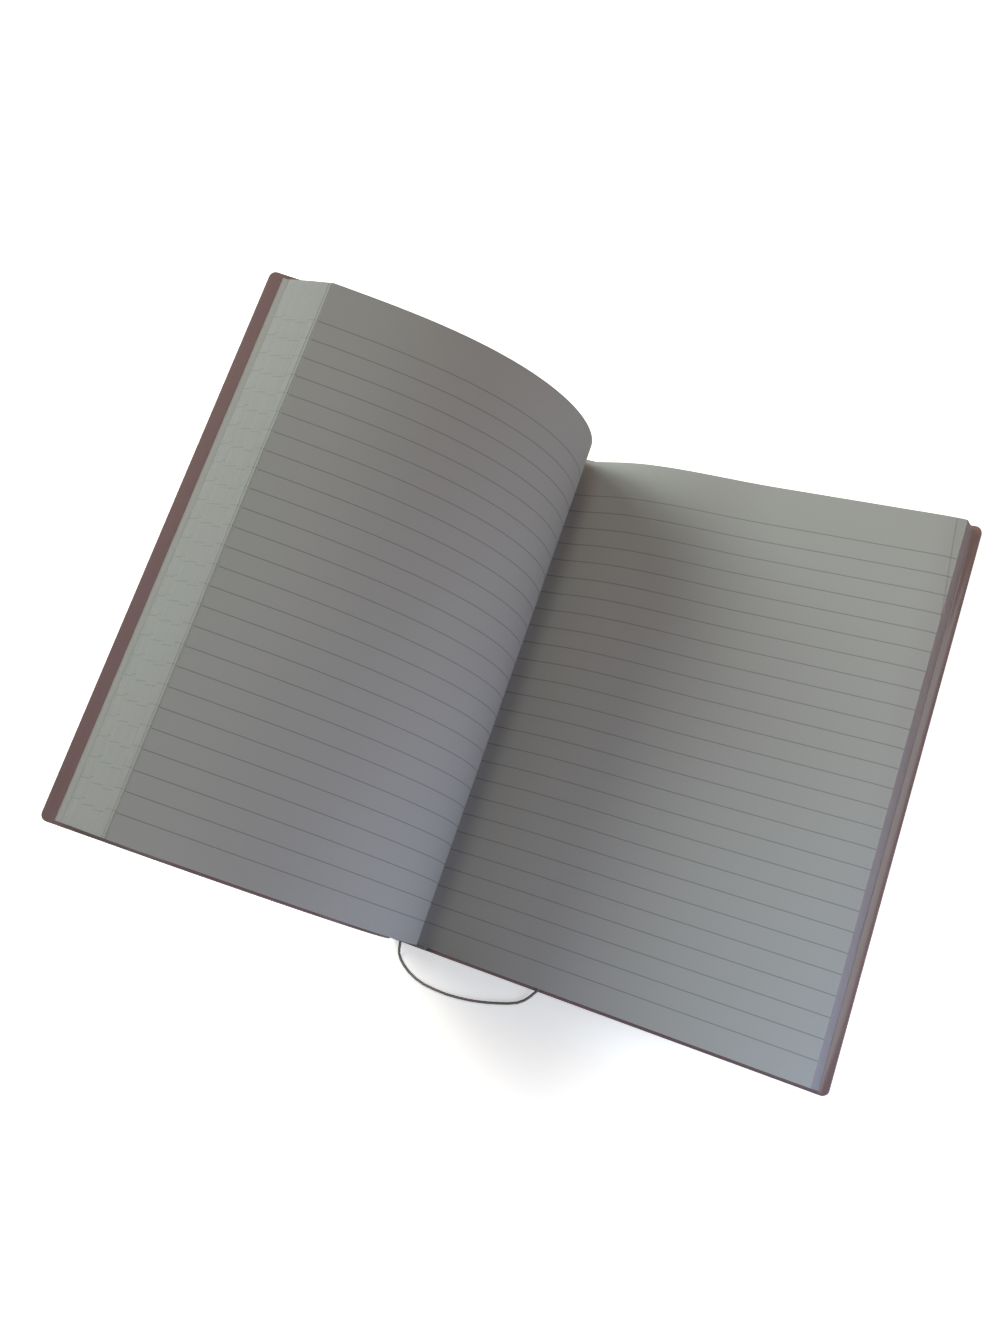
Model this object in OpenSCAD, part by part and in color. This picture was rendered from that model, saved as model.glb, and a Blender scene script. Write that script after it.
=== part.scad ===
// Open ruled notebook with thin, flexible covers and a ribbon marker.
// The right half lies flat on its back cover. The left half of the leaves and the
// front cover stand up from the spine and arch over to the left, as a new, stiff
// binding holds them when it is opened near the middle.
// Millimetres. +Z is up, +Y is towards the head of the page, +X is to the reader's right.
// The origin is the middle of the back cover's underside, on the table.

/* [Leaves] */
// Height of a leaf, head to tail
page_h = 247.65; // [150:0.05:330]
// Width of a leaf, spine to fore-edge
page_w = 190.5; // [150:0.5:220]
// Thickness of the flat right half of the leaves
right_t = 9.8; // [6:0.1:16]
// Thickness of the raised left half of the leaves, at the glued spine
left_t = 9.4; // [7:0.1:14]
// How far the lowest leaf of the right half stands out past the top one
right_slant = 1.7; // [0.5:0.1:5]
// How high the right page swells beside the gutter
swell_h = 2.6; // [0:0.1:5]
// Width of that swell, from the gutter
swell_w = 105; // [60:1:140]
// Steps cut in the fanned fore-edge of the left half
left_steps = 24; // [4:1:40]
// Steps cut in the fore-edge of the right half
right_steps = 10; // [4:1:30]

/* [Arch of the left half] */
// Slope of the top leaf where it leaves the gutter, degrees from the table
top_start = 44.3; // [35:0.1:60]
// How far the top leaf turns over on its way to the fore-edge, degrees
top_bend = 108.1; // [80:0.1:112]
// How much steeper the leaf next to the front cover leaves the spine, degrees
low_steeper = 9.3; // [4:0.1:20]
// How much less that leaf turns over on its way to the fore-edge, degrees
low_stiffer = 5.3; // [0:0.1:10]

/* [Covers] */
// Thickness of the card boards
board_t = 1.2; // [0.8:0.1:2.5]
// Thickness of the covering material
cloth_t = 0.4; // [0.3:0.05:0.8]
// Thickness of the endpaper glued inside each cover
paper_t = 0.3; // [0.15:0.05:0.4]
// How far the covers stand out past the leaves at head and tail
end_lip = 1.6; // [1.4:0.1:6]
// How far the back cover stands out past the leaves at the fore-edge
back_lip = 4; // [2:0.1:7]
// How far the front cover stands out past the leaves, now that it is bent
front_lip = 9; // [4:0.1:12]
// How far the front endpaper stops short of the cover's edge
front_margin = 6; // [4:0.1:8]
// Radius of the outer corners of the covers
corner_r = 3; // [1.5:0.1:8]
// Width of the groove in which each cover bends
groove_w = 7; // [5:0.1:10]

/* [Spine] */
// Width of the spine strip
spine_w = 18; // [16:0.1:22]
// Rise of the gutter, where the two open pages meet, over the back cover
gutter_rise = 3.2; // [2.5:0.1:5]
// Glued thickness of the leaves under the gutter
spine_web = 2.6; // [1.5:0.1:3]
// From the gutter to the spine side of the right half
foot_out = 8; // [5:0.5:10]
// Height of the line in which the front cover bends
front_hinge_z = 5; // [3.5:0.1:6]
// How far that line stands out past the spine strip
front_hinge_out = 1.7; // [1:0.1:3]
// Width of the covering folded in at head and tail of the spine strip
turn_in = 12; // [6:1:20]
// Thickness of the gauze glued to the leaves at the spine
lining_t = 0.3; // [0.2:0.05:0.4]
// How far the gauze stops short of the leaves at head and tail
lining_short = 16; // [12:1:40]
// Thickness of the bead of the head and tail bands, along the spine
band_w = 1.2; // [1:0.1:2]
// How far that bead reaches over the ends of the leaves
band_h = 1.3; // [0.8:0.1:2]
// Length of the tape by which each band is glued to the leaves
band_tape = 9; // [4:0.5:14]

/* [Ribbon] */
// Thickness of the ribbon marker's cord
ribbon_d = 1.2; // [0.8:0.1:1.4]

/* [Clearances] */
// Air between the back cover and the leaves that lie on it
seat_gap = 0.1; // [0.05:0.05:0.3]
// Air between the front cover and the arched leaves
leaf_gap = 0.3; // [0.2:0.05:0.6]
// Half of the slit in the covering at each line where a cover bends
bend_slit = 0.2; // [0.15:0.05:0.3]

/* [Hidden] */

cover_t = board_t + 2 * cloth_t;
cover_h = page_h + 2 * end_lip;
inner_z = cloth_t + board_t;            // inner face of a board, under its endpaper
seat_z = cover_t + seat_gap;            // lowest leaf of the right half

// The gutter is the line x = gutter_x, where the two top leaves meet.
gutter_x = -4.5;
gutter = [gutter_x, seat_z + gutter_rise];
foot = [gutter_x + foot_out, seat_z];    // spine side of the right half's lowest leaf
heel = foot + [0, lining_t + 0.1];      // where the gauze starts
notch = gutter - [0.5, spine_web];
left_lean = 24;                         // slope of the left half's glued edge
low_leaf = gutter + left_t * [-cos(left_lean), sin(left_lean)];

flat_z = seat_z + right_t;              // right page where it lies flat
dip_w = 24.5;                           // how quickly the right page falls into the gutter
arc_loss = 1;                           // what the swell takes from the right page's reach
right_edge = gutter_x + page_w - arc_loss;
right_points = 30;
leaf_points = 40;

strip_right = foot[0];
strip_left = strip_right - spine_w;
back_start = strip_right + groove_w;    // inner edge of the back board
back_end = right_edge + right_slant + back_lip;
back_hinge = [strip_right + groove_w / 2, cloth_t / 2];
front_hinge = [strip_left - front_hinge_out, front_hinge_z];
origin_x = (back_start - cloth_t + back_end) / 2;
band_air = 0.1;                         // between the ends of the leaves and a band's bead

// Route of the ribbon: glued in the hollow of the spine, out at the tail, round on the
// table and back in between the leaves of the right half.
ribbon_route = [
    [-9.4, -100, 5], [-9.4, -108, 5], [-9.4, -116, 5], [-9.3, -121, 4.8], [-9.2, -124.5, 4.2],
    [-9.4, -126.8, 2.9], [-9.6, -128.8, 1.7], [-9.2, -130.8, 0.8], [-7.6, -132.9, 0.6],
    [-5, -134.9, 0.6], [-1.5, -136.9, 0.6], [3, -138.6, 0.6], [7.5, -139.6, 0.6],
    [13.5, -140.1, 0.6], [19.6, -140.2, 0.6], [25.5, -139.8, 0.6], [31.2, -139.1, 0.6],
    [36, -138.2, 0.6], [40.3, -137.2, 0.6], [45, -135.9, 0.6], [49.5, -134.5, 0.6],
    [53.5, -132.8, 0.6], [56.3, -130.8, 0.9], [58.3, -128.9, 1.8], [59.9, -127, 2.65],
    [61.2, -125.2, 2.8], [62.1, -123.9, 2.8]];
ribbon_sides = 8;

// Slope of a leaf at distance s from the spine: it turns fast near the gutter and
// runs out straight at the fore-edge.
function slope(start, bend, s) = start + bend * sin(90 * min(s, page_w) / page_w);

// Points along a leaf that starts at p0, as [x, z] with the slope of each.
function leaf(p0, start, bend, reach, n) = let (ds = reach / n)
    [for (i = 0, p = p0; i <= n;
          p = p + ds * [cos(slope(start, bend, (i + 0.5) * ds)), sin(slope(start, bend, (i + 0.5) * ds))],
          i = i + 1) [p[0], p[1], slope(start, bend, i * ds)]];

// A leaf of the left half: k is 0 for the top leaf and 1 for the one next to the cover.
function left_leaf(k, reach = page_w, n = leaf_points) =
    leaf(gutter + k * (low_leaf - gutter), top_start + k * low_steeper, top_bend - k * low_stiffer,
         reach, n);

// The same points moved square to the leaf, away from the reader.
function beside(pts, d) = [for (p = pts) [p[0] - d * sin(p[2]), p[1] + d * cos(p[2])]];

// A leaf's points as [x, z], from number first to the last but one.
function inner_points(pts, first) = [for (i = [first:len(pts) - 2]) [pts[i][0], pts[i][1]]];

function reversed(v) = [for (i = [len(v) - 1:-1:0]) v[i]];

// Fanned ends of the left half's leaves, one step for each bundle of leaves.
left_ends = [for (j = [0:left_steps]) let (l = left_leaf(j / left_steps)) l[leaf_points]];
left_fan = [for (j = [0:left_steps - 1])
    let (a = left_ends[j], b = left_ends[j + 1], n = [-sin(a[2]), cos(a[2])],
         drop = (b[0] - a[0]) * n[0] + (b[1] - a[1]) * n[1])
    each [[a[0], a[1]], [a[0] + drop * n[0], a[1] + drop * n[1]]]];

// Top of the right half: flat, with a swell beside the gutter and a fall into it.
function right_z(x) = let (u = x - gutter_x)
    flat_z + swell_h * pow(sin(180 * u / swell_w), 2) - (flat_z - gutter[1]) * exp(-pow(u / dip_w, 2));
right_top = [for (i = [0:right_points]) let (x = gutter_x + swell_w * i / right_points) [x, right_z(x)]];
right_fan = [for (j = [0:right_steps - 1]) let (x = right_edge + right_slant * j / right_steps)
    each [[x, flat_z - right_t * j / right_steps], [x, flat_z - right_t * (j + 1) / right_steps]]];

// Cross-section of all the leaves, glued together at the spine.
function block_outline() = concat(
    right_top, right_fan,
    [foot, heel, notch],
    inner_points(left_leaf(1), 0),
    reversed(left_fan),
    reversed(inner_points(left_leaf(0), 1)));

// Draws a shape given as [x, z] points, as long as h along the spine.
module along_spine(pts, h, y = 0) {
    translate([-origin_x, y + h / 2, 0]) rotate([90, 0, 0]) linear_extrude(h) polygon(pts);
}

// Outline of a flat cover from x0 to x1, with its two outer corners rounded.
module cover_plan(x0, x1, h, r) {
    translate([x0, -h / 2]) square([x1 - r - x0, h]);
    translate([x0, r - h / 2]) square([x1 - x0, h - 2 * r]);
    for (s = [-1, 1]) translate([x1 - r, s * (h / 2 - r)]) circle(r, $fn = 32);
}

module flat_sheet(x0, x1, h, r, z, t) {
    translate([-origin_x, 0, z]) linear_extrude(t) cover_plan(x0, x1, h, r);
}

// The front cover follows the lowest leaf of the left half and runs on past it.
front_reach = page_w + front_lip;
front_points = 44;
front_path = left_leaf(1, front_reach, front_points);
front_out = leaf_gap + cover_t;
front_tip = front_path[front_points];

// The cover's path as far as reach, on the same chords whatever the reach.
function front_part(reach) = let (
    step = front_reach / front_points, last = ceil(reach / step - 0.2) - 1,
    p = front_path[last], q = front_path[last + 1])
    concat([for (i = [0:last]) front_path[i]], [p + (q - p) * (reach / step - last)]);

// Strip between two distances from the lowest leaf, ending back from the cover's edge.
function front_strip(d0, d1, back) = let (path = front_part(front_reach - back))
    concat(beside(path, d0), reversed(beside(path, d1)));

// Takes the two square corners off a bent cover, so that radius r is left.
module front_corners(h, r, back) {
    for (s = [-1, 1])
        translate([front_tip[0] - origin_x, 0, front_tip[1]]) rotate([0, -front_tip[2], 0])
            translate([-back - r, s * (h / 2 - r), -1])
                difference() {
                    translate([0, s > 0 ? 0 : -r - 1, 0]) cube([r + 1, r + 1, cover_t + leaf_gap + 3]);
                    translate([0, 0, -1]) cylinder(h = cover_t + leaf_gap + 5, r = r, $fn = 32);
                }
}

module bent_sheet(d0, d1, h, r, back) {
    difference() {
        along_spine(front_strip(d0, d1, back), h);
        front_corners(h, r, back);
    }
}

// Leaves

module pages() {
    color([0.86, 0.86, 0.83]) along_spine(block_outline(), page_h);
}

// Strip along the glued edge of the leaves: t thick outside it and h inside, and
// longer by past at both of its ends.
function spine_edge(t, h = 0, past = 0) = let (
    b = notch,
    d1 = (b - heel) / norm(b - heel), d2 = (low_leaf - b) / norm(low_leaf - b),
    a = heel - past * d1, c = low_leaf + past * d2,
    n1 = [-d1[1], d1[0]], n2 = [-d2[1], d2[0]],
    m = (n1 + n2) / norm(n1 + n2), corner = m / (m * n1))
    [a - h * n1, b - h * corner, c - h * n2, c + t * n2, b + t * corner, a + t * n1];

module spine_lining() {
    color([0.8, 0.78, 0.7]) along_spine(spine_edge(lining_t), page_h - 2 * lining_short);
}

// Tape glued to the leaves, with a bead that covers their ends at the spine.
module end_band(s) {
    bead_y = page_h / 2 + band_air;
    difference() {
        along_spine(spine_edge(lining_t, band_h), band_tape + band_w, s * (bead_y + (band_w - band_tape) / 2));
        along_spine(spine_edge(0, band_h + 1, 1), band_tape + 1, s * (bead_y - (band_tape + 1) / 2));
    }
}

module headband() { color([0.75, 0.72, 0.66]) end_band(1); }

module tailband() { color([0.75, 0.72, 0.66]) end_band(-1); }

// Spine of the case

module spine_board() {
    color([0.62, 0.6, 0.55]) translate([-origin_x, 0, cloth_t]) linear_extrude(board_t)
        translate([strip_left, cloth_t - cover_h / 2]) square([spine_w, cover_h - 2 * cloth_t]);
}

// Covering of the spine: under the strip, folded in at head and tail, and out to both bend lines.
module spine_cloth() {
    skin = [[back_hinge[0] - bend_slit, 0], [back_hinge[0] - bend_slit, cloth_t],
            [strip_left, cloth_t], [front_hinge[0] + 0.6 + cloth_t / 2, 1.4],
            [front_hinge[0] + cloth_t / 2, front_hinge[1] - bend_slit],
            [front_hinge[0] - cloth_t / 2, front_hinge[1] - bend_slit],
            [front_hinge[0] + 0.2, 1.2], [strip_left, 0]];
    color([0.42, 0.24, 0.25]) {
        along_spine(skin, cover_h);
        for (s = [-1, 1])
            translate([strip_left - origin_x, s * (cover_h - turn_in) / 2 - turn_in / 2, 0])
                difference() {
                    cube([spine_w, turn_in, cover_t]);
                    translate([-1, s > 0 ? -cloth_t : cloth_t, cloth_t])
                        cube([spine_w + 2, turn_in, board_t]);
                }
    }
}

// Front cover

module front_board() {
    color([0.62, 0.6, 0.55])
        bent_sheet(leaf_gap + cloth_t, leaf_gap + cloth_t + board_t, cover_h - 2 * cloth_t,
                   corner_r - cloth_t, cloth_t);
}

module front_endpaper() {
    color([0.85, 0.84, 0.8])
        along_spine(front_strip(leaf_gap + cloth_t - paper_t, leaf_gap + cloth_t, front_margin), page_h);
}

// Covering of the front cover, folded round the board, with the groove up to the bend line.
module front_cloth() {
    groove = [front_hinge + [-cloth_t / 2, bend_slit], front_hinge + [cloth_t / 2, bend_slit],
              beside([front_path[0]], front_out - cloth_t)[0]];
    color([0.42, 0.24, 0.25])
        difference() {
            along_spine(concat(front_strip(leaf_gap, front_out, 0), groove), cover_h);
            front_corners(cover_h, corner_r, 0);
            bent_sheet(leaf_gap + cloth_t, leaf_gap + cloth_t + board_t, cover_h - 2 * cloth_t,
                       corner_r - cloth_t, cloth_t);
            along_spine(front_strip(0, leaf_gap + cloth_t, front_margin), page_h);
        }
}

// Back cover

module back_board() {
    color([0.62, 0.6, 0.55])
        flat_sheet(back_start, back_end - cloth_t, cover_h - 2 * cloth_t, corner_r - cloth_t, cloth_t, board_t);
}

module back_endpaper() {
    color([0.85, 0.84, 0.8]) translate([back_start - origin_x, -page_h / 2, inner_z])
        cube([back_end - back_lip - back_start, page_h, paper_t]);
}

module back_cloth() {
    color([0.42, 0.24, 0.25]) {
        difference() {
            flat_sheet(back_start, back_end, cover_h, corner_r, 0, cover_t);
            back_board();
            translate([back_start - origin_x - 1, -page_h / 2, inner_z])
                cube([back_end - back_lip - back_start + 1, page_h, cover_t]);
        }
        translate([back_hinge[0] + bend_slit - origin_x, -cover_h / 2, 0])
            cube([back_start - back_hinge[0] - bend_slit, cover_h, cloth_t]);
    }
}

// Ribbon marker

// Tube of diameter d along a route, as one closed solid.
module tube(route, d, sides) {
    n = len(route);
    rings = [for (i = [0:n - 1])
        let (t = route[min(i + 1, n - 1)] - route[max(i - 1, 0)], u = t / norm(t),
             side = cross(u, [0, 0, 1]) / norm(cross(u, [0, 0, 1])), up = cross(side, u))
        each [for (j = [0:sides - 1]) route[i]
              + d / 2 * (side * cos(360 * j / sides) + up * sin(360 * j / sides))]];
    walls = [for (i = [0:n - 2], j = [0:sides - 1]) let (a = i * sides + j, b = i * sides + (j + 1) % sides)
        each [[a, b, b + sides], [a, b + sides, a + sides]]];
    ends = [[for (j = [sides - 1:-1:0]) j], [for (j = [0:sides - 1]) (n - 1) * sides + j]];
    polyhedron(rings, concat(walls, ends));
}

module ribbon() {
    color([0.25, 0.24, 0.25]) translate([-origin_x, 0, 0]) tube(ribbon_route, ribbon_d, ribbon_sides);
}

pages();
spine_lining();
headband();
tailband();
spine_board();
spine_cloth();
front_board();
front_cloth();
front_endpaper();
back_board();
back_cloth();
back_endpaper();
ribbon();
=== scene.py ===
"""Open ruled notebook, seen from above the flat half: one half of the leaves lies on the
table and the other stands up from the spine and arches over to the left.

The CAD model gives the covers, their boards and the spine. This script adds the leaves
with the ruling, the softened edges of the covering, the cord of the ribbon, and the light.
"""

import math

import bmesh
import bpy
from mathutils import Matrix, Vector, noise


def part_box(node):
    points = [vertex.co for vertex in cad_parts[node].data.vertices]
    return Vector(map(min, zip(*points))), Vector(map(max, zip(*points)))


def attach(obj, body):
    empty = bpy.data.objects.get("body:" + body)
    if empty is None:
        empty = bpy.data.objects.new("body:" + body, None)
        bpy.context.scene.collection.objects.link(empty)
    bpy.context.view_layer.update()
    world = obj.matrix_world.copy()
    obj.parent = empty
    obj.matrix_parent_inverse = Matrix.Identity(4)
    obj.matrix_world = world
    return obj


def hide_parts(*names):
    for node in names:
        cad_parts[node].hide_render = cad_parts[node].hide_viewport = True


MM = 0.001

# Sizes, in millimetres

PAGE_W = 190.5
LINE_SPACING = 8.731        # 11/32 in, wide ruling
LINE_COUNT = 26
HEAD_MARGIN = 18.7          # from the head of the page to the first line
RULE_W = 0.42               # printed width of a ruled line
RULE_FADE = (0.25, 0.8)     # shares of that width between which its ink fades out
RULE_START = (1.0, 2.0)     # distances from the gutter between which the ink sets in
RULE_INK = 0.72             # how much of the ruling's colour the paper takes
HALF_LINE = (0.6, 0.4)      # in lines, how far past the outermost ones the ruling ends

BACK_LIP = 4.0              # the back cover past the leaves at the fore-edge
FRONT_LIP = 9.0             # the front cover past the leaves
COVER_T = 2.0
SEAT_GAP = 0.1              # air between the back cover and the leaves
LEAF_GAP = 0.3              # air between the front cover and the leaves
RIGHT_T = 9.8               # thickness of the flat half
RIGHT_SLANT = 1.7           # its lowest leaf past the top one
SWELL_H = 2.6               # swell of the right page beside the gutter
SWELL_W = 105.0
DIP_W = 24.5                # how quickly that page falls into the gutter
LEFT_T = 9.4                # thickness of the raised half at the spine
LEFT_LEAN = 24.0            # degrees: slope of its glued edge
TOP_START, TOP_BEND = 44.3, 108.1       # degrees: slope of the top leaf at the spine, and its turn
LOW_STEEPER, LOW_STIFFER = 9.3, 5.3     # degrees: what the lowest leaf has more and less
GUTTER_RISE = 3.2           # the gutter over the lowest leaf
SPINE_WEB = 2.6             # glued thickness of the leaves under the gutter
NOTCH_BACK = 0.5            # how far the underside of that web lies left of the gutter
FOOT_OUT = 8.0              # spine side of the right half, from the gutter
HEEL_RISE = 0.4             # where the gauze starts, over the lowest leaf
ARC_LOSS = 1.0              # what the swell takes from the right page's reach
CLOTH_T = 0.4               # the covering
GROOVE_W, SPINE_W = 7.0, 18.0
HINGE_Z, HINGE_OUT = 5.0, 1.7           # line in which the front cover bends
CAD_GUTTER_X = -4.5         # the gutter, as the CAD source counts x

# The leaves of the raised half, as this script shows them, in millimetres

LEFT_LEAVES = 110           # steps of the fanned fore-edge
LOOSE_LEAVES = (0.055, 0.105)           # where in the fan the two top leaves end
UNDER_LOOSE = (0.5, 0.8)    # shade under their edges
UNDER_LEAF = 0.97           # shade under the edge of any other leaf
SLANT = 0.6                 # slant of the cut edges in the fan, 0 square to 1 flush
FAN_WANDER = 0.3            # how far an edge in the fan strays
BUNCH = 17                  # leaves whose ruling lies together at the fore-edge
BUNCH_SHIFT = 2.2           # how far the ruling of a bunch is shifted along the edge
BUNCH_CREEP = 0.02          # and from each of its leaves to the next

# The leaves of the flat half, as this script shows them, in millimetres

RIGHT_LEAVES = 56           # steps of the fore-edge
RIGHT_WANDER = 0.12         # how far they stray
RIGHT_ROWS = 96             # rows of quads across the page
ROW_POWER = 0.9             # below 1, the rows are closer together at the fore-edge
LOOSE_T = 0.15              # thickness of the top leaves, which have slid back at the head
LOOSE_BACK = 4.6            # how far they have slid there
LOOSE_RUN = 46.0            # length of edge over which they come level again
EDGE_FALL = 0.9             # how far the page droops at its fore-edge
EDGE_FALL_W = 11.0          # width of that droop

# The covering, as this script shows it, in millimetres

EDGE_ROUND = 0.85           # rounding of its folded edges
TIP_NEAR = 3.4              # edges this close to the tip are those of the cover's fore-edge
TIP_DEPTH = 0.2             # and this close to the cover's faces
SAME_PLACE = 0.05           # what counts as the same distance along the spine
CREASE_REACH = 0.3          # from a bend line to the ends of the strip that closes its slit
CREASE_IN = 0.05            # how far that strip keeps inside the covering's faces

# How the meshes are cleaned and shaded, in metres and degrees

SAME_POINT = 1e-6           # points closer than this are joined
NO_LENGTH = 1e-7            # edges shorter than this are dissolved
SAME_PLANE = 0.3            # faces that meet flatter than this are joined
FOLD_ANGLE = 50             # edges sharper than this are rounded
SHARP_LEAF, SHARP_COVER = 28, 40        # edges sharper than this are shaded sharp

# The ribbon, in millimetres

RIBBON_D = 1.2
RIBBON_ROUTE = [
    (-9.4, -100, 5), (-9.4, -108, 5), (-9.4, -116, 5), (-9.3, -121, 4.8),
    (-9.2, -124.5, 4.2), (-9.4, -126.8, 2.9), (-9.6, -128.8, 1.7),
    (-9.2, -130.8, 0.8), (-7.6, -132.9, 0.6), (-5, -134.9, 0.6), (-1.5, -136.9, 0.6),
    (3, -138.6, 0.6), (7.5, -139.6, 0.6), (13.5, -140.1, 0.6), (19.6, -140.2, 0.6),
    (25.5, -139.8, 0.6), (31.2, -139.1, 0.6), (36, -138.2, 0.6), (40.3, -137.2, 0.6),
    (45, -135.9, 0.6), (49.5, -134.5, 0.6), (53.5, -132.8, 0.6), (56.3, -130.8, 0.9),
    (58.3, -128.9, 1.8), (59.9, -127, 2.65), (61.2, -125.2, 2.8), (62.1, -123.9, 2.8)]

# The frame

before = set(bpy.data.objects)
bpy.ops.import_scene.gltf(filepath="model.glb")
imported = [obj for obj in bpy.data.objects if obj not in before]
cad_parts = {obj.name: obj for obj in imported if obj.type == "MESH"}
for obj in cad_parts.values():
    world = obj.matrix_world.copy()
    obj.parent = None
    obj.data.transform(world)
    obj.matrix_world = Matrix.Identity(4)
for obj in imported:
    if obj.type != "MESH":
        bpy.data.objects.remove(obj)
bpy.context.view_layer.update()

HALF_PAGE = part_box("pages")[1].y / MM
HALF_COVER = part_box("back_cloth")[1].y / MM
BACK_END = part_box("back_cloth")[1].x / MM
GUTTER_X = -(PAGE_W - ARC_LOSS + RIGHT_SLANT + BACK_LIP - BACK_END)
SEAT_Z = COVER_T + SEAT_GAP
GUTTER = (GUTTER_X, SEAT_Z + GUTTER_RISE)
FOOT = (GUTTER_X + FOOT_OUT, SEAT_Z)
HEEL = (FOOT[0], SEAT_Z + HEEL_RISE)
NOTCH = (GUTTER[0] - NOTCH_BACK, GUTTER[1] - SPINE_WEB)
LOW_LEAF = (GUTTER[0] - LEFT_T * math.cos(math.radians(LEFT_LEAN)),
            GUTTER[1] + LEFT_T * math.sin(math.radians(LEFT_LEAN)))
FLAT_Z = SEAT_Z + RIGHT_T
RIGHT_EDGE = GUTTER_X + PAGE_W - ARC_LOSS
ROUTE_X = GUTTER_X - CAD_GUTTER_X       # the ribbon's route counts x as the CAD source does

# Material tools


class Field:
    """One value of a shader, so that its maths is written as Python expressions."""

    def __init__(self, shader, socket):
        self.shader, self.socket = shader, socket

    def maths(self, operation, *others, turned=False):
        """A Math node on this value and the others, or on the others and this value."""
        values = (*others, self) if turned else (self, *others)
        return self.shader.add("ShaderNodeMath", 0, {"operation": operation}, dict(enumerate(values)))

    def __add__(self, other):
        return self.maths("ADD", other)

    def __sub__(self, other):
        return self.maths("SUBTRACT", other)

    def __mul__(self, other):
        return self.maths("MULTIPLY", other)

    def __truediv__(self, other):
        return self.maths("DIVIDE", other)

    __radd__ = __add__
    __rmul__ = __mul__

    def __rsub__(self, other):
        return self.maths("SUBTRACT", other, turned=True)

    def __rtruediv__(self, other):
        return self.maths("DIVIDE", other, turned=True)

    def sibling(self, output):
        """Another output of the node that this value comes from."""
        return Field(self.shader, self.socket.node.outputs[output])

    def step(self, low, high):
        """0 below low and 1 above high, with a smooth rise between."""
        return self.shader.add("ShaderNodeMapRange", "Result", {"interpolation_type": "SMOOTHSTEP"},
                               {"Value": self, "From Min": low, "From Max": high})


class Shader:
    """A material with a Principled BSDF, and its node tree."""

    def __init__(self, name, **inputs):
        self.material = bpy.data.materials.new(name)
        self.material.use_nodes = True
        self.tree = self.material.node_tree
        self.bsdf = self.tree.nodes["Principled BSDF"]
        self.set(**inputs)

    def feed(self, slot, value):
        if isinstance(value, Field):
            self.tree.links.new(value.socket, slot)
        else:
            slot.default_value = value

    def add(self, kind, output, settings=None, values=None):
        """Adds a node, sets and links its inputs, and returns the output of that name or number."""
        node = self.tree.nodes.new(kind)
        for key, value in (settings or {}).items():
            setattr(node, key, value)
        for key, value in (values or {}).items():
            self.feed(node.inputs[key], value)
        return Field(self, node.outputs[output])

    def set(self, **inputs):
        """Sets inputs of the BSDF, with _ for each space in a name."""
        for key, value in inputs.items():
            self.feed(self.bsdf.inputs[key.replace("_", " ")], value)

    def mix(self, factor, a, b):
        """A mix of two colours, on the colour sockets of the node."""
        return self.add("ShaderNodeMix", 2, {"data_type": "RGBA"}, {0: factor, 6: a, 7: b})

    def noise(self, scale, detail):
        place = self.add("ShaderNodeTexCoord", "Object")
        return self.add("ShaderNodeTexNoise", 0, {}, {"Vector": place, "Scale": scale, "Detail": detail})

    def bump(self, height, strength, distance):
        """Bends the normals; distance is in millimetres."""
        self.set(Normal=self.add("ShaderNodeBump", 0, {},
                                 {"Height": height, "Strength": strength, "Distance": distance * MM}))


class Room(Shader):
    """The world behind and round the object."""

    def __init__(self, name):
        self.world = bpy.data.worlds.new(name)
        self.world.use_nodes = True
        self.tree = self.world.node_tree
        self.bsdf = self.tree.nodes["Background"]


def grey(value):
    return (value, value, value, 1.0)


# Materials

PAPER, PAPER_DIM = (0.56, 0.575, 0.56, 1), (0.52, 0.53, 0.52, 1)
RULE = (0.23, 0.27, 0.25, 1)
MAROON, MAROON_DARK = (0.27, 0.135, 0.13, 1), (0.23, 0.115, 0.11, 1)
CORD, CORD_DARK = (0.42, 0.36, 0.33, 1), (0.22, 0.19, 0.18, 1)
CARD = (0.3, 0.26, 0.21, 1)
ENDPAPER = (0.7, 0.74, 0.71, 1)
GAUZE = (0.45, 0.42, 0.34, 1)
BAND = (0.4, 0.37, 0.32, 1)


def paper_material():
    """Writing paper: the ruling is drawn from the leaf map, which holds the distance from the
    gutter and the height on the page, both in millimetres; u below zero marks a leaf's edge."""
    shader = Shader("ruled_paper", Roughness=0.75, Specular_IOR_Level=0.25)
    leaf_map = shader.add("ShaderNodeUVMap", 0, {"uv_map": "leaf"})
    u = shader.add("ShaderNodeSeparateXYZ", "X", {}, {"Vector": leaf_map})
    v = u.sibling("Y")
    count = (HALF_PAGE - HEAD_MARGIN - v) / LINE_SPACING
    off_line = (count - count.maths("ROUND")).maths("ABSOLUTE") * LINE_SPACING
    outer, inner = HALF_LINE
    ruling = (1.0 - off_line.step(*(share * RULE_W for share in RULE_FADE))) * u.step(*RULE_START)
    ruling = ruling * count.step(-outer, -inner) * (1.0 - count.step(LINE_COUNT - outer, LINE_COUNT - inner))
    tint = shader.add("ShaderNodeAttribute", "Color", {"attribute_name": "tint"})
    fibre = shader.noise(900.0, 3.0)
    cloudy = shader.noise(9.0, 1.0)
    base = shader.mix(cloudy, PAPER_DIM, PAPER)
    ruled = shader.mix(ruling * RULE_INK, base, RULE)
    colour = shader.add("ShaderNodeVectorMath", 0, {"operation": "MULTIPLY"}, {0: ruled, 1: tint})
    shader.set(Base_Color=colour)
    shader.bump(fibre, 0.12, 0.05)
    return shader.material


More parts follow.
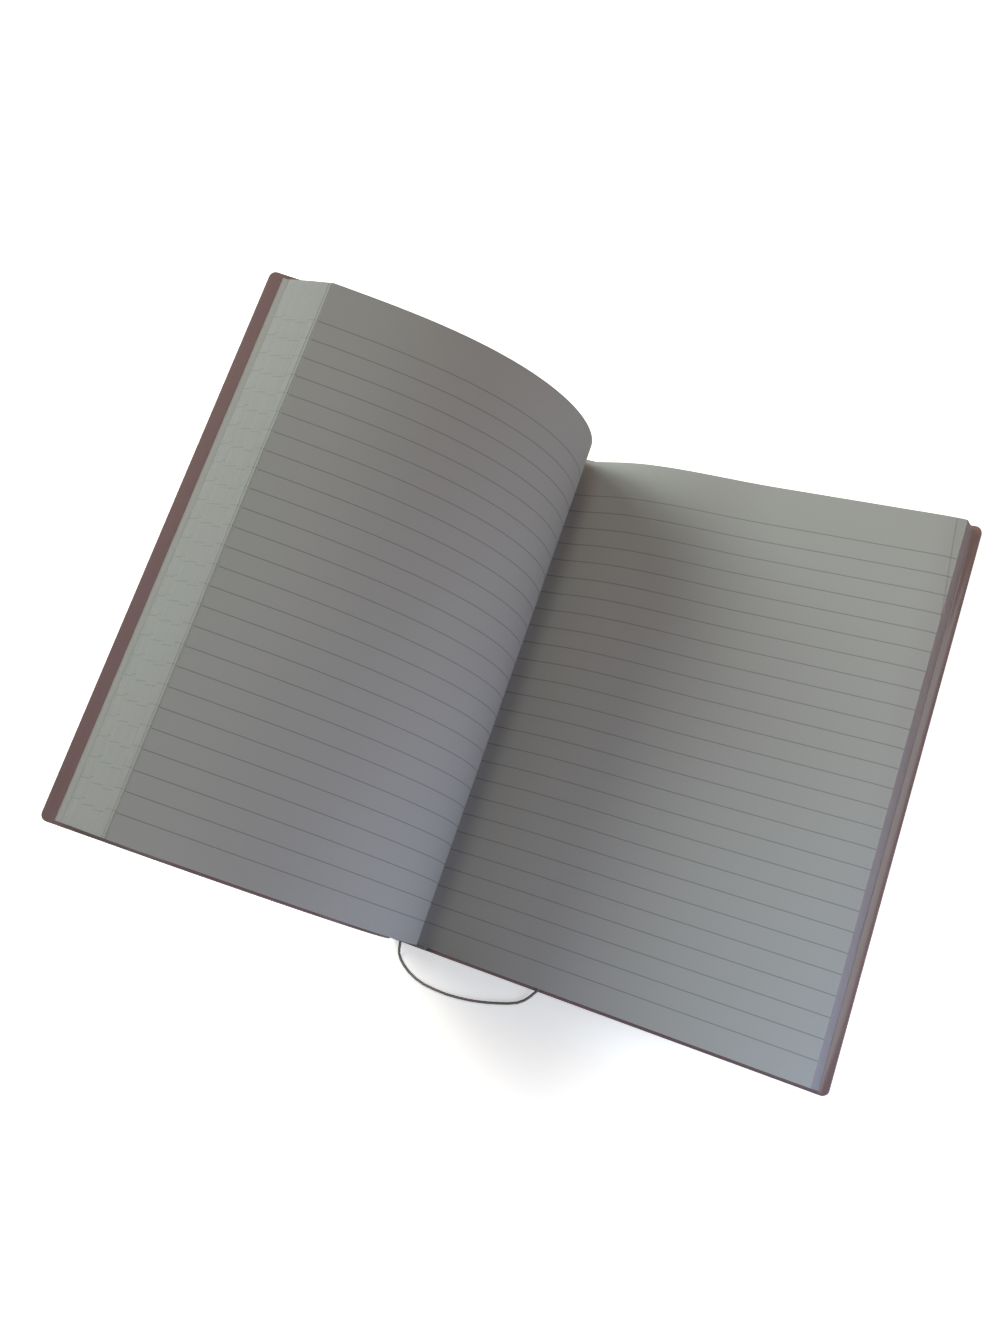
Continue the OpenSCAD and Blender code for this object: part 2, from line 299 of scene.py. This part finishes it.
def covering_material():
    """Maroon leather-like covering with a satin sheen and a fine grain."""
    shader = Shader("maroon_covering", Specular_IOR_Level=0.6, Sheen_Weight=0.2, Sheen_Roughness=0.4,
                    Coat_Weight=1.0, Coat_IOR=1.75, Coat_Roughness=0.16)
    grain = shader.add("ShaderNodeTexVoronoi", "Distance", {"feature": "DISTANCE_TO_EDGE"},
                       {"Vector": shader.add("ShaderNodeTexCoord", "Object"), "Scale": 1500.0})
    wear = shader.noise(30.0, 4.0)
    shader.set(Base_Color=shader.mix(wear, MAROON_DARK, MAROON), Roughness=wear * 0.14 + 0.34)
    shader.bump(grain.step(0.0, 0.25), 0.25, 0.05)
    return shader.material


def plain_material(name, colour, roughness, grain, scale=600.0):
    """One colour, with a grain: grain is its strength and scale its fineness."""
    shader = Shader(name, Base_Color=colour, Roughness=roughness, Specular_IOR_Level=0.25)
    shader.bump(shader.noise(scale, 3.0), grain, 0.1)
    return shader.material


def cord_material():
    """Twisted dark cord: the strands run round it on a slant."""
    shader = Shader("dark_cord", Roughness=0.7, Specular_IOR_Level=0.35)
    place = shader.add("ShaderNodeUVMap", 0, {"uv_map": "UVMap"})
    strands = shader.add("ShaderNodeMapping", 0, {}, {"Vector": place, "Scale": (40.0, 2.0, 1.0)})
    twist = shader.add("ShaderNodeTexWave", "Fac", {"bands_direction": "DIAGONAL"},
                       {"Vector": strands, "Scale": 1.0})
    shader.set(Base_Color=shader.mix(twist, CORD_DARK, CORD))
    shader.bump(twist, 0.6, 0.15)
    return shader.material


# The leaves


def slope(start, bend, s):
    """Slope of a leaf, in radians, at distance s from the spine."""
    return math.radians(start + bend * math.sin(math.radians(90 * min(s, PAGE_W) / PAGE_W)))


def leaf_path(k, reach=PAGE_W, chords=90):
    """Points (x, z, slope) along a leaf of the raised half; k is 0 on top and 1 by the cover."""
    start, bend = TOP_START + k * LOW_STEEPER, TOP_BEND - k * LOW_STIFFER
    x = GUTTER[0] + k * (LOW_LEAF[0] - GUTTER[0])
    z = GUTTER[1] + k * (LOW_LEAF[1] - GUTTER[1])
    step = reach / chords
    points = [(x, z, slope(start, bend, 0))]
    for i in range(chords):
        a = slope(start, bend, (i + 0.5) * step)
        x, z = x + step * math.cos(a), z + step * math.sin(a)
        points.append((x, z, slope(start, bend, (i + 1) * step)))
    return points


def right_height(x):
    """Height of the right page: flat, with a swell beside the gutter and a fall into it."""
    u = x - GUTTER_X
    swell = SWELL_H * math.sin(math.pi * u / SWELL_W) ** 2 if u < SWELL_W else 0
    droop = max(0.0, (x - RIGHT_EDGE + EDGE_FALL_W) / EDGE_FALL_W)
    return FLAT_Z + swell - (FLAT_Z - GUTTER[1]) * math.exp(-(u / DIP_W) ** 2) - EDGE_FALL * droop ** 2


def wander(a, b, seed):
    """Smooth noise between -1 and 1."""
    return noise.noise(Vector((a, b, seed)))


class Grids:
    """Collects strips of quads, each vertex with its leaf map, and joins them to one mesh."""

    def __init__(self):
        self.points, self.quads, self.maps, self.tints = [], [], [], []

    def grid(self, rows, maps, tint=(1.0, 1.0, 1.0)):
        """rows and maps are lists of equal lists: points in mm, and (u, v) for each."""
        first, width = len(self.points), len(rows[0])
        for row, places in zip(rows, maps):
            self.points += [(x * MM, y * MM, z * MM) for x, y, z in row]
            self.maps += places
            self.tints += [(*tint, 1.0)] * width
        for i in range(len(rows) - 1):
            for j in range(width - 1):
                a = first + i * width + j
                self.quads.append((a, a + 1, a + width + 1, a + width))

    def mesh(self, name):
        mesh = bpy.data.meshes.new(name)
        mesh.from_pydata(self.points, [], self.quads)
        leaf = mesh.uv_layers.new(name="leaf")
        for loop in mesh.loops:
            leaf.data[loop.index].uv = self.maps[loop.vertex_index]
        tint = mesh.attributes.new("tint", "FLOAT_COLOR", "POINT")
        tint.data.foreach_set("color", [c for t in self.tints for c in t])
        return mesh


COLUMNS = 46                # of quads, from tail to head
YS = [HALF_PAGE * (2 * i / COLUMNS - 1) for i in range(COLUMNS + 1)]
EDGE = (-1.0, 0.0)          # leaf map of what carries no ruling
CUT = (1.04, 0.96, 0.98)    # tint of the cut edges of the leaves: a faint pink, painted in as light reflected from the maroon covering


def cut(level):
    return tuple(level * c for c in CUT)


def along(points, u_of=None):
    """Rows of 3-D points and their maps: one row per outline point, one column per y."""
    rows = [[(x, y, z) for y in YS] for x, z in points]
    maps = [[EDGE if u_of is None else (u_of(i), y) for y in YS] for i in range(len(points))]
    return rows, maps


def edge_maps(width):
    """Leaf maps for two rows that carry no ruling."""
    return [[EDGE] * width] * 2


def leaves():
    """The block of leaves, with its stepped fore-edges and the glued spine."""
    block = Grids()
    top, low = leaf_path(0), leaf_path(1)
    block.grid(*along([p[:2] for p in top], lambda i: PAGE_W * i / (len(top) - 1)))
    block.grid(*along([p[:2] for p in low[:-1]], lambda i: PAGE_W * i / (len(low) - 1)))
    left_fan(block)
    right_half(block)
    block.grid(*along([LOW_LEAF, NOTCH, HEEL, FOOT]), tint=cut(0.9))
    for y in (-HALF_PAGE, HALF_PAGE):
        left_end(block, y)
        right_end(block, y)
    mesh = block.mesh("leaves")
    work = bmesh.new()
    work.from_mesh(mesh)
    bmesh.ops.dissolve_degenerate(work, dist=NO_LENGTH, edges=work.edges)
    bmesh.ops.recalc_face_normals(work, faces=work.faces)
    work.to_mesh(mesh)
    work.free()
    mesh.shade_smooth()
    mesh.set_sharp_from_angle(angle=math.radians(SHARP_LEAF))
    return bpy.data.objects.new("leaves", mesh)


def fan_share(j):
    """Place of a leaf in the fan, 0 to 1: the two top leaves have slid further."""
    loose = (0.0,) + LOOSE_LEAVES
    if j < len(loose):
        return loose[j]
    return loose[-1] + (1 - loose[-1]) * (j - len(loose) + 1) / (LEFT_LEAVES - len(loose) + 1)


def left_fan(block):
    """Fore-edge of the raised half: each leaf shows a sliver of its face past the one above."""
    ends = [leaf_path(fan_share(j))[-1] for j in range(LEFT_LEAVES + 1)]
    edges = []
    for j, (x, z, a) in enumerate(ends):
        free = 0 < j < LEFT_LEAVES - 1
        back = [FAN_WANDER * wander(j * 0.12, y * 0.012, 4.4) if free else 0.0 for y in YS]
        edges.append([(x + b * math.cos(a), y, z + b * math.sin(a)) for b, y in zip(back, YS)])
    for j, ((x, z, a), (x1, z1, _)) in enumerate(zip(ends, ends[1:])):
        away = (-math.sin(a), math.cos(a))
        drop = (x1 - x) * away[0] + (z1 - z) * away[1]
        bunch = 1.0 + 0.05 * wander(j * 0.17, 0.0, 3.1) + 0.03 * wander(j * 0.6, 0.0, 8.8)
        gather = round(j / BUNCH + wander(j * 0.1, 0.0, 2.6))
        shift = BUNCH_SHIFT * wander(gather * 3.37, 0.5, 5.5) + BUNCH_CREEP * (j - BUNCH * gather)
        foot = [(p[0] + drop * away[0] + SLANT * (q[0] - p[0] - drop * away[0]), p[1],
                 p[2] + drop * away[1] + SLANT * (q[2] - p[2] - drop * away[1]))
                for p, q in zip(edges[j], edges[j + 1])]
        shade = UNDER_LOOSE[j] if j < len(UNDER_LOOSE) else UNDER_LEAF
        block.grid([edges[j], foot], edge_maps(len(YS)), tint=(shade * bunch,) * 3)
        block.grid([foot, edges[j + 1]], [[(PAGE_W, y + shift) for y in YS]] * 2, tint=(bunch,) * 3)


def right_half(block):
    """Right page, its fore-edge and its underside."""
    span = RIGHT_EDGE - GUTTER_X
    rows, maps = [], []
    for i in range(RIGHT_ROWS + 1):
        row, places = [], []
        for y in YS:
            back = LOOSE_BACK * max(0.0, min(1.0, (y - HALF_PAGE + LOOSE_RUN) / LOOSE_RUN))
            x = GUTTER_X + (span - back) * (i / RIGHT_ROWS) ** ROW_POWER
            row.append((x, y, right_height(x)))
            places.append((x - GUTTER_X, y))
        rows.append(row)
        maps.append(places)
    block.grid(rows, maps)
    lip = [(x, y, z - LOOSE_T) for x, y, z in rows[-1]]
    block.grid([rows[-1], lip], edge_maps(len(YS)), tint=cut(1.05))
    under = right_height(RIGHT_EDGE) - LOOSE_T
    edge = [(RIGHT_EDGE, y, under) for y in YS]
    block.grid([lip, edge], [[(PAGE_W, y) for y in YS]] * 2)
    for j in range(RIGHT_LEAVES):
        tint = cut(1.0 + 0.1 * wander(j * 0.37, 0.0, 2.2))
        x = RIGHT_EDGE + RIGHT_SLANT * (j + 1) / RIGHT_LEAVES
        z = under + (SEAT_Z - under) * (j + 1) / RIGHT_LEAVES
        foot = [(px, y, z) for px, y, _ in edge]
        last = j == RIGHT_LEAVES - 1
        out = foot if last else [(x + RIGHT_WANDER * wander(j * 0.8, y * 0.015, 6.6), y, z) for y in YS]
        block.grid([edge, foot], edge_maps(len(YS)), tint=tint)
        if not last:
            block.grid([foot, out], edge_maps(len(YS)), tint=tint)
        edge = out
    base = [(x, y, SEAT_Z) for x, y, _ in edge]
    block.grid([base, [(FOOT[0], y, FOOT[1]) for y in YS]], edge_maps(len(YS)), tint=cut(1.0))


def left_end(block, y):
    """Head or tail face of the raised half, leaf by leaf."""
    layers = 28
    paths = [leaf_path(j / layers, chords=60) for j in range(layers + 1)]
    for j in range(layers):
        tint = cut(1.0 + 0.08 * wander(j * 0.9, y, 7.7))
        rows = [[(x, y, z) for x, z, _ in paths[j]], [(x, y, z) for x, z, _ in paths[j + 1]]]
        block.grid(rows, edge_maps(len(rows[0])), tint=tint)
    spine = [(GUTTER[0], y, GUTTER[1])] * 2, [(LOW_LEAF[0], y, LOW_LEAF[1]), (NOTCH[0], y, NOTCH[1])]
    block.grid(spine, edge_maps(2), tint=cut(0.9))


def right_end(block, y):
    """Head or tail face of the flat half."""
    layers, steps = 12, 60
    rows = []
    for k in range(layers + 1):
        row = []
        for i in range(steps + 1):
            t = i / steps
            x_top = GUTTER_X + (RIGHT_EDGE - GUTTER_X) * t
            x_low = NOTCH[0] + (RIGHT_EDGE + RIGHT_SLANT * 0.98 - NOTCH[0]) * t
            z_top, z_low = right_height(x_top), SEAT_Z
            if x_low < HEEL[0]:
                z_low = HEEL[1] + (NOTCH[1] - HEEL[1]) * (HEEL[0] - x_low) / (HEEL[0] - NOTCH[0])
            f = k / layers
            row.append((x_top + (x_low - x_top) * f, y, z_top + (z_low - z_top) * f))
        rows.append(row)
    for k in range(layers):
        tint = cut(1.0 + 0.08 * wander(k * 0.9, y, 9.9))
        block.grid(rows[k:k + 2], edge_maps(steps + 1), tint=tint)


# Covering and ribbon


def softened(node, tip, lean):
    """The covering of one cover, as in the CAD, with its folded outer edges rounded.
    tip is the middle of its fore-edge (x, z) in millimetres, and lean the cover's slope there."""
    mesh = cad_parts[node].data.copy()
    work = bmesh.new()
    work.from_mesh(mesh)
    bmesh.ops.remove_doubles(work, verts=work.verts, dist=SAME_POINT)
    bmesh.ops.dissolve_limit(work, angle_limit=math.radians(SAME_PLANE), verts=work.verts, edges=work.edges)

    def outer(v):
        x, z = v.co.x / MM - tip[0], v.co.z / MM - tip[1]
        depth = abs(z * math.cos(lean) - x * math.sin(lean))
        near_tip = math.hypot(x, z) < TIP_NEAR and abs(depth - COVER_T / 2) < TIP_DEPTH
        return abs(v.co.y) / MM > HALF_COVER - SAME_PLACE or near_tip

    edges = [e for e in work.edges if len(e.link_faces) == 2 and all(outer(v) for v in e.verts)
             and e.calc_face_angle() > math.radians(FOLD_ANGLE)]
    bmesh.ops.bevel(work, geom=edges, offset=EDGE_ROUND * MM, segments=4, affect="EDGES",
                    profile=0.5, clamp_overlap=True)
    bmesh.ops.dissolve_degenerate(work, dist=NO_LENGTH, edges=work.edges)
    work.to_mesh(mesh)
    work.free()
    mesh.shade_smooth()
    mesh.set_sharp_from_angle(angle=math.radians(SHARP_COVER))
    piece = bpy.data.objects.new(node.replace("cloth", "covering"), mesh)
    bpy.context.collection.objects.link(piece)
    return piece


def box_mesh(name, boxes):
    """Boxes (x0, x1, z0, z1) nearly as long as the covers, in one mesh."""
    half = HALF_COVER - CREASE_IN
    points, faces = [], []
    for x0, x1, z0, z1 in boxes:
        n = len(points)
        corners = ((x0, z0), (x1, z0), (x1, z1), (x0, z1))
        points += [(x * MM, y * MM, z * MM) for y in (-half, half) for x, z in corners]
        faces += [tuple(n + i for i in f) for f in
                  ((0, 1, 2, 3), (7, 6, 5, 4), (0, 4, 5, 1), (1, 5, 6, 2), (2, 6, 7, 3), (3, 7, 4, 0))]
    mesh = bpy.data.meshes.new(name)
    mesh.from_pydata(points, [], faces)
    return bpy.data.objects.new(name, mesh)


def creases():
    """The covering where it bends beside the spine: it closes the CAD's two slits."""
    back_x, front_x = FOOT[0] + GROOVE_W / 2, FOOT[0] - SPINE_W - HINGE_OUT
    thin = CLOTH_T / 2 - CREASE_IN
    return box_mesh("creases", [
        (back_x - CREASE_REACH, back_x + CREASE_REACH, CREASE_IN, CLOTH_T - CREASE_IN),
        (front_x - thin, front_x + thin, HINGE_Z - CREASE_REACH, HINGE_Z + CREASE_REACH)])


def ribbon_cord():
    """The ribbon's cord, on the CAD's route."""
    curve = bpy.data.curves.new("ribbon_cord", "CURVE")
    curve.dimensions = "3D"
    curve.bevel_depth = RIBBON_D / 2 * MM
    curve.bevel_resolution = 4
    curve.use_fill_caps = True
    spline = curve.splines.new("POLY")
    spline.points.add(len(RIBBON_ROUTE) - 1)
    for point, (x, y, z) in zip(spline.points, RIBBON_ROUTE):
        point.co = ((x + ROUTE_X) * MM, y * MM, z * MM, 1)
    spline.use_smooth = True
    return bpy.data.objects.new("ribbon_cord", curve)


# Camera and light

CAMERA_PLACE = (0.16847, -0.11133, 0.56785)
CAMERA_TURN = (20.958, 20.811, 20.420)      # degrees
LENS, SENSOR_W = 35.766, 36
SHIFT = (-0.0031, -0.0281)
NEAREST = 0.01              # metres from the camera

TABLE_HALF = 4.0            # metres, from its middle to its edges
TABLE_DROP = 0.0002         # metres, so that its top and the covering's underside don't flicker
TABLE_GLOW, TABLE_FAR_GLOW = 0.45, 0.9  # painted light that only the camera sees, beside the loop and far from it: low there so that the shadow shows, high further out where it whitens out shade
GLOW_MIDDLE = (-0.06, -0.1, 0.0)        # on the table, beside the ribbon's loop
GLOW_RISES = (0.035, 0.13)              # between these distances from it, in metres
TABLE_WHITE = 0.9                       # as the lamps' light sees it
TABLE_SEEN = (1.0, 0.97, 0.91, 1)       # as the camera sees it: warmed a little to cancel the blue of the lamps' light on it
ROOM_SEEN, ROOM_GLOSS = 0.95, 0.39      # the room, to the camera and in reflections
BOOK = (0.0, 0.0, 0.05)
LIGHTS = {                  # place, aim, size, power, colour
    "window": ((-1.15, 0.4, 0.95), BOOK, (0.7, 0.7), 8.4, (0.98, 1.0, 0.98)),
    "window_low": ((-1.1, 0.75, 0.75), BOOK, (0.7, 0.7), 7.4, (0.84, 1.0, 0.91)),
    "head": ((0.1, 1.1, 0.8), BOOK, (0.6, 0.6), 1.95, (1.0, 0.44, 0.05)),
    "tail": ((0.35, -0.55, 0.4), BOOK, (0.3, 0.3), 1.07, (1.0, 0.92, 0.99)),
    "right": ((0.45, -0.02, 0.12), (-0.05, -0.05, 0.05), (0.1, 0.3), 0.25, (1.0, 0.71, 0.67)),
    "near": ((0.22, -0.2, 0.12), (-0.05, -0.1, 0.05), (0.1, 0.1), 0.16, (0.21, 0.54, 1.0)),
    "panel": ((0.01, 0.12, 0.62), (0.01, 0.12, 0.0), (0.14, 0.6), 0.41, (0.83, 1.0, 1.0)),
}
SOFT_LIGHTS = ("near",)     # lamps that leave no highlight


def camera():
    data = bpy.data.cameras.new("camera")
    data.lens, data.sensor_width = LENS, SENSOR_W
    data.shift_x, data.shift_y = SHIFT
    data.clip_start = NEAREST
    eye = bpy.data.objects.new("camera", data)
    eye.location = CAMERA_PLACE
    eye.rotation_euler = [math.radians(a) for a in CAMERA_TURN]
    bpy.context.collection.objects.link(eye)
    bpy.context.scene.camera = eye


def area_light(name, place, target, size, power, colour):
    """A rectangular lamp, which no picture shows itself."""
    data = bpy.data.lights.new(name, "AREA")
    data.shape = "RECTANGLE"
    data.size, data.size_y = size
    data.energy, data.color = power, colour
    lamp = bpy.data.objects.new(name, data)
    lamp.location = place
    lamp.rotation_euler = (Vector(target) - Vector(place)).to_track_quat("-Z", "Y").to_euler()
    lamp.visible_camera = False
    lamp.visible_glossy = name not in SOFT_LIGHTS
    bpy.context.collection.objects.link(lamp)


def pale_room():
    """The world, and its lamps: a key light from the left and soft fills from the other sides."""
    room = Room("room")
    seen = room.add("ShaderNodeLightPath", "Is Camera Ray")
    room.set(Color=grey(1.0), Strength=seen * ROOM_SEEN + seen.sibling("Is Glossy Ray") * ROOM_GLOSS)
    bpy.context.scene.world = room.world
    for name, lamp in LIGHTS.items():
        area_light(name, *lamp)


def white_table():
    """The table, which glows least beside the ribbon's loop, so that its shadow is seen there."""
    mesh = bpy.data.meshes.new("table")
    corners = [(x * TABLE_HALF, y * TABLE_HALF, 0) for x, y in ((-1, -1), (1, -1), (1, 1), (-1, 1))]
    mesh.from_pydata(corners, [], [(0, 1, 2, 3)])
    table = bpy.data.objects.new("table", mesh)
    table.location.z = -TABLE_DROP
    bpy.context.collection.objects.link(table)
    shader = Shader("white_table", Roughness=0.6, Specular_IOR_Level=0.1, Emission_Strength=1.0)
    seen = shader.add("ShaderNodeLightPath", "Is Camera Ray")
    away = shader.add("ShaderNodeVectorMath", "Value", {"operation": "DISTANCE"},
                      {0: shader.add("ShaderNodeTexCoord", "Object"), 1: GLOW_MIDDLE})
    glow = shader.mix(away.step(*GLOW_RISES), grey(TABLE_GLOW), grey(TABLE_FAR_GLOW))
    shader.set(Base_Color=shader.mix(seen, grey(TABLE_WHITE), TABLE_SEEN),
               Emission_Color=shader.mix(seen, grey(0.0), glow))
    mesh.materials.append(shader.material)


# The scene


def show(piece, body, material, slot, *nodes):
    """Shows a piece in place of CAD nodes, riding on a body."""
    if piece.name not in bpy.context.scene.objects:
        bpy.context.collection.objects.link(piece)
    piece.data.materials.clear()
    piece.data.materials.append(material)
    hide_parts(*nodes)
    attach(piece, body)


def paint(node, material):
    """Gives a CAD node that stays as it is a material."""
    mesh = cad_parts[node].data
    mesh.materials.clear()
    mesh.materials.append(material)


camera()
bpy.context.scene.view_settings.view_transform = "Standard"
bpy.context.scene.view_settings.look = "None"

ribbon = ribbon_cord()
show(ribbon, "block", cord_material(), "ribbon", "ribbon")

show(leaves(), "block", paper_material(), "leaves", "pages")

covering = covering_material()
tip_x, tip_z, tip_lean = leaf_path(1, PAGE_W + FRONT_LIP)[-1]
middle = LEAF_GAP + COVER_T / 2
front_tip = (tip_x - middle * math.sin(tip_lean), tip_z + middle * math.cos(tip_lean))
show(softened("back_cloth", (BACK_END, COVER_T / 2), 0.0), "back_cover", covering, "covering", "back_cloth")
show(softened("front_cloth", front_tip, tip_lean), "front_cover", covering, "covering", "front_cloth")
paint("spine_cloth", covering)
folds = creases()
bpy.context.collection.objects.link(folds)
folds.data.materials.append(covering)
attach(folds, "block")

board = plain_material("card", CARD, 0.85, 0.3)
endpaper = plain_material("endpaper", ENDPAPER, 0.7, 0.1)
for node in ("spine_board", "front_board", "back_board"):
    paint(node, board)
for node in ("front_endpaper", "back_endpaper"):
    paint(node, endpaper)
paint("spine_lining", plain_material("gauze", GAUZE, 0.9, 0.5, 900.0))
band = plain_material("band", BAND, 0.85, 0.4, 1200.0)
paint("headband", band)
paint("tailband", band)

pale_room()
white_table()
